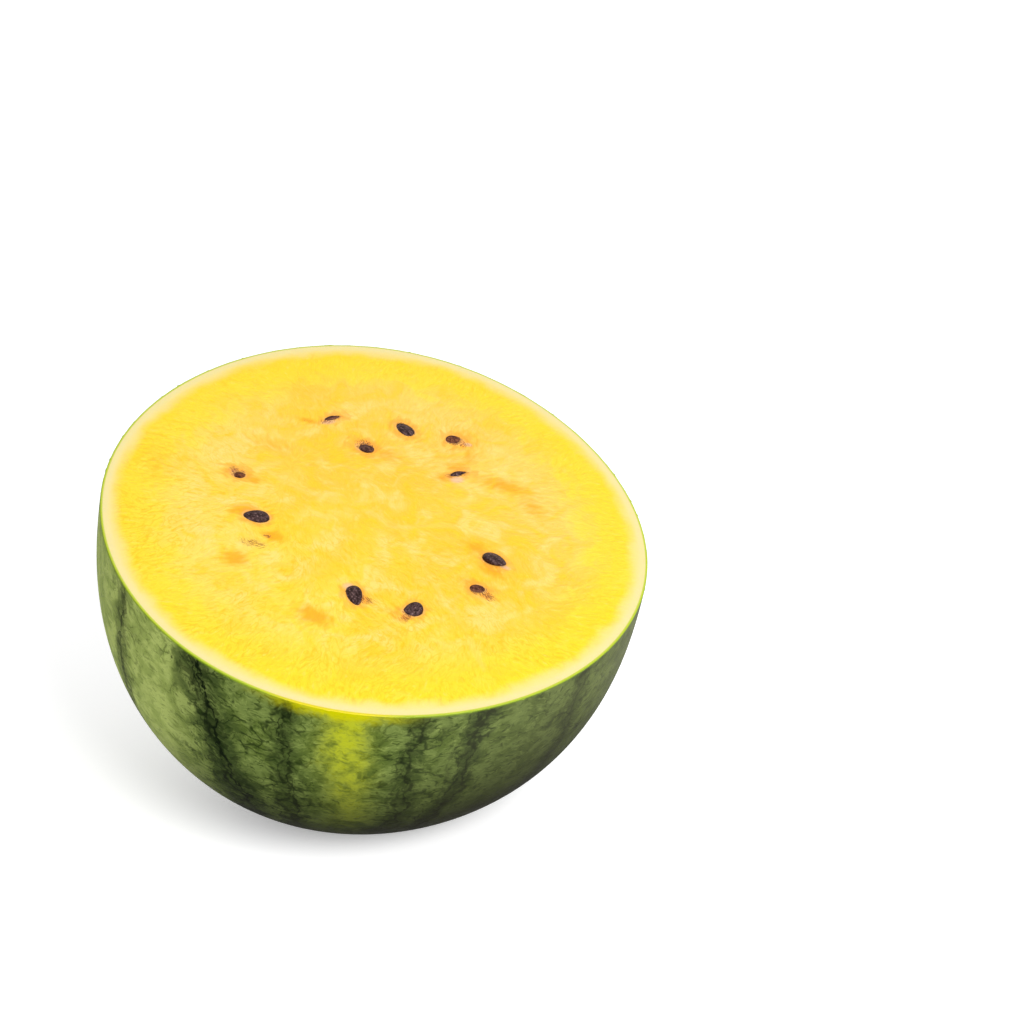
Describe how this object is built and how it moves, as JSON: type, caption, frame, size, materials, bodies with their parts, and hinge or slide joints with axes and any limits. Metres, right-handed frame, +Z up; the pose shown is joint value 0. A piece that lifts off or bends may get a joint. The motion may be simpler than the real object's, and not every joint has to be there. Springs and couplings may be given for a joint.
{
  "type": "watermelon half",
  "caption": "Half of a round watermelon cut across its middle, lying on its rind, with the yellow flesh and dark seeds of the cut face showing.",
  "frame": {"origin": "middle of the small flat spot that the half rests on", "axes": "+Z up from the surface it stands on; the cut face leans 22 degrees from level and looks up and towards -Y, and a little towards +X"},
  "size_m": [0.2249, 0.2229, 0.1727],
  "materials": {
    "rind": "satin",
    "seed_coat": "satin"
  },
  "bodies": {
    "root": {"melon_half": "rind", "seed_01": "seed_coat", "seed_02": "seed_coat", "seed_03": "seed_coat", "seed_04": "seed_coat", "seed_05": "seed_coat", "seed_06": "seed_coat", "seed_07": "seed_coat", "seed_08": "seed_coat", "seed_09": "seed_coat", "seed_10": "seed_coat", "seed_11": "seed_coat"}
  },
  "joints": []
}
